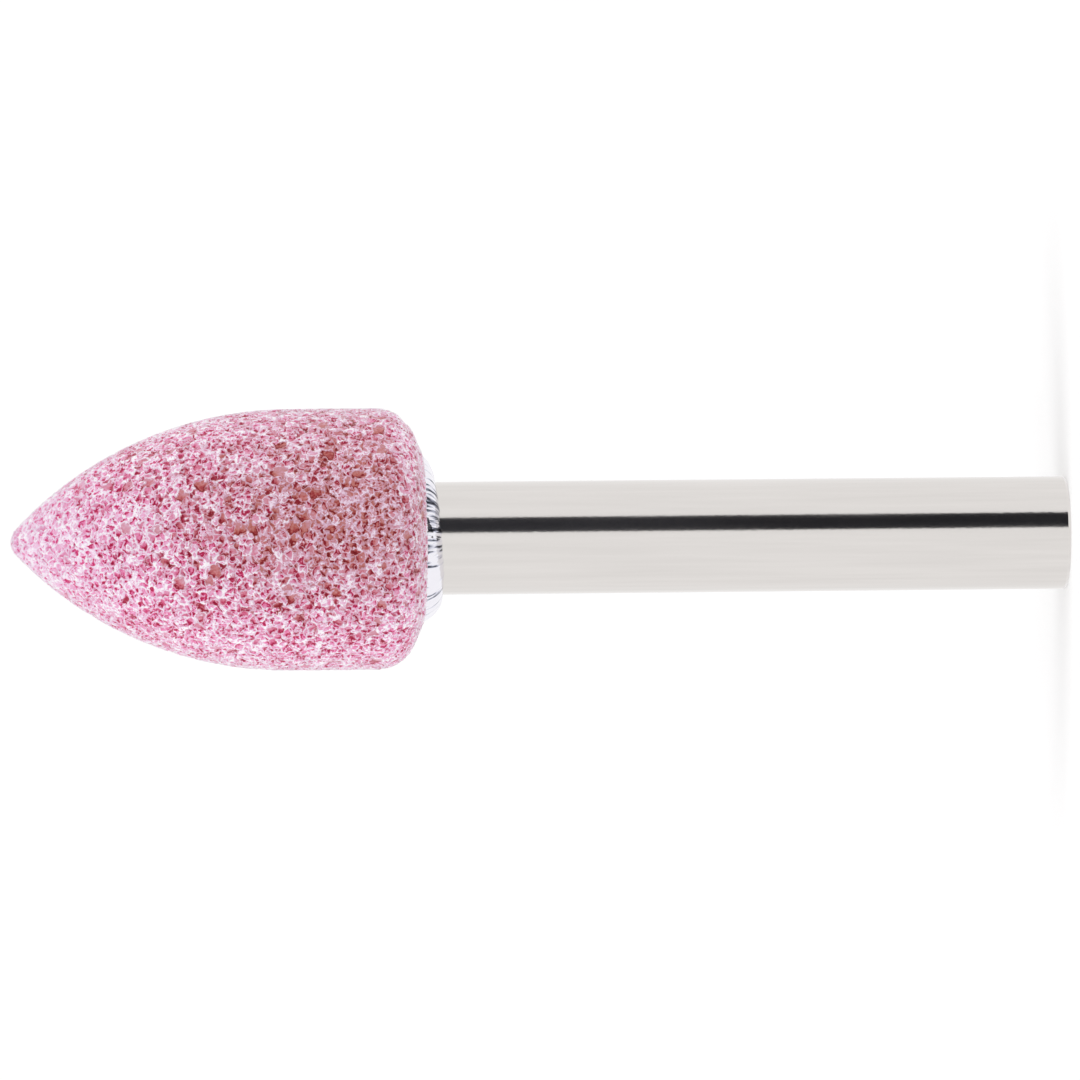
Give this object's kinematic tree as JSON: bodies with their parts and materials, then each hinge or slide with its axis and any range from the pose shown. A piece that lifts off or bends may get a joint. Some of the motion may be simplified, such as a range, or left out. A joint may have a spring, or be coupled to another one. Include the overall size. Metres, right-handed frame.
{
  "type": "mounted point",
  "caption": "Pointed-arch grinding head of pink vitrified aluminium oxide, cemented onto a plain round steel shank for a collet.",
  "frame": {"origin": "centre of the shank's free end face, which the tool stands on", "axes": "+Z along the tool's axis from the shank's free end to the head's tip; X and Y are free, because the tool is round"},
  "size_m": [0.0138, 0.0138, 0.0562],
  "materials": {
    "abrasive": "matte",
    "steel": "satin",
    "cement": "gloss"
  },
  "bodies": {
    "root": {"abrasive_head": "abrasive", "shank": "steel", "bond_cement": "cement"}
  },
  "joints": []
}
